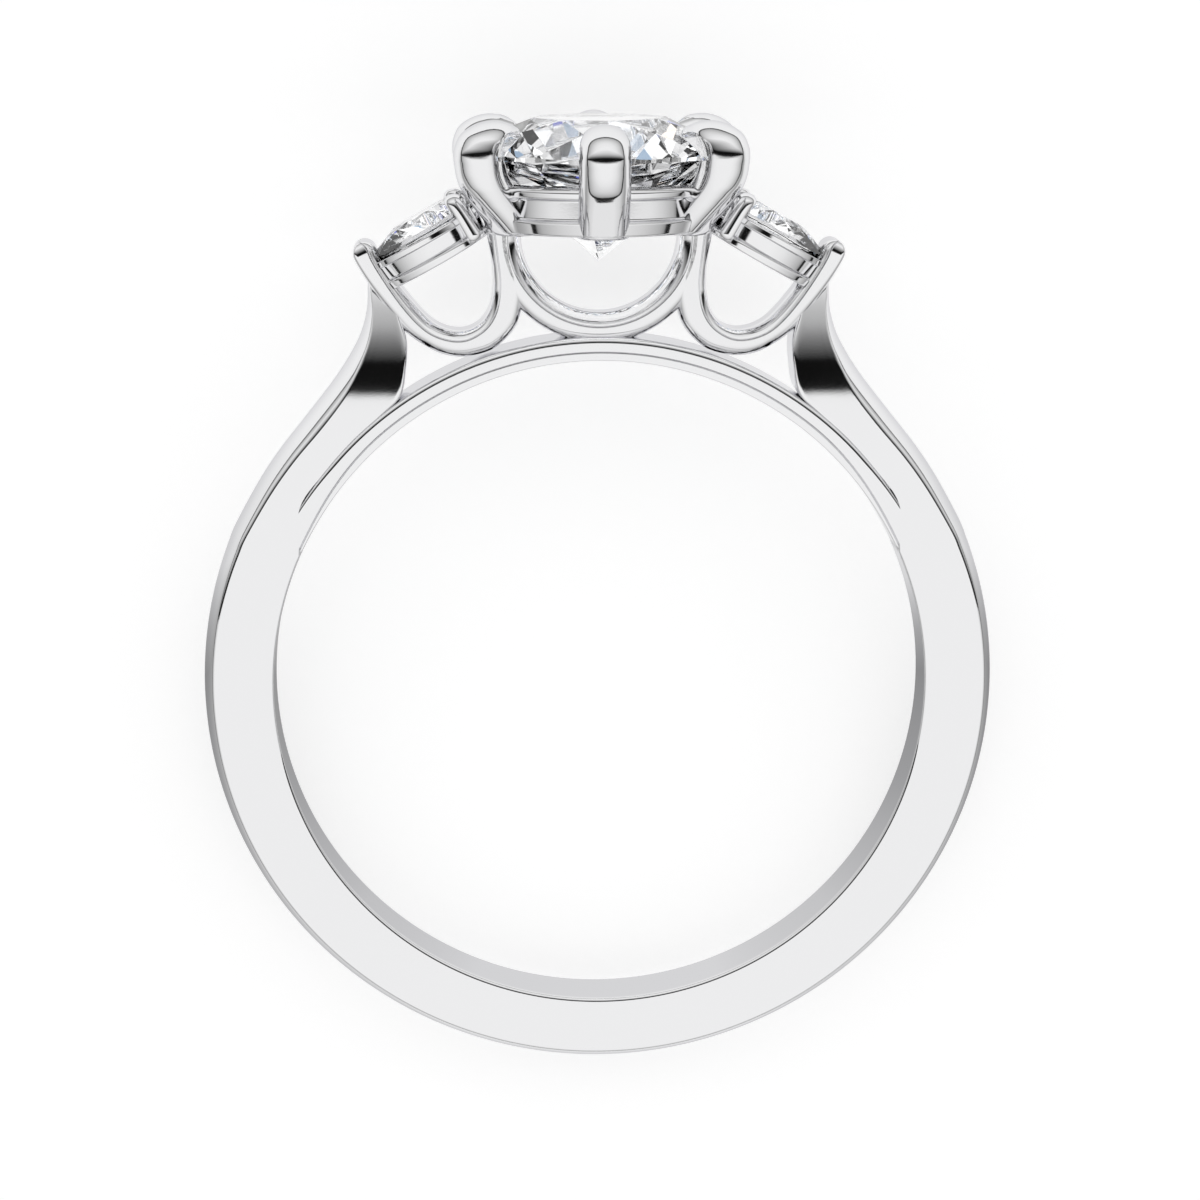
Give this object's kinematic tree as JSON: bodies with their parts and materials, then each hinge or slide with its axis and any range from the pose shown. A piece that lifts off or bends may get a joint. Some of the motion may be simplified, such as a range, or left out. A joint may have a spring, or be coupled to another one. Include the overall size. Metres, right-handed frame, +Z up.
{
  "type": "three-stone ring",
  "caption": "Polished white gold ring with a round brilliant in a claw head between pear brilliants, on U wires over a plain domed shank.",
  "frame": {"origin": "centre of the base of the bounding box of the ring as it lies on the floor", "axes": "+Z up; +Y from the shank's base to the head, along the floor; +X to the right as seen from above; the finger hole's axis leans about 8 degrees from +Z, away from the head"},
  "size_m": [0.0206, 0.0251, 0.0084],
  "materials": {
    "white_gold": "polished",
    "diamond": "polished facets"
  },
  "bodies": {
    "root": {"mount": "white_gold", "centre_stone": "diamond", "left_stone": "diamond", "right_stone": "diamond"}
  },
  "joints": []
}
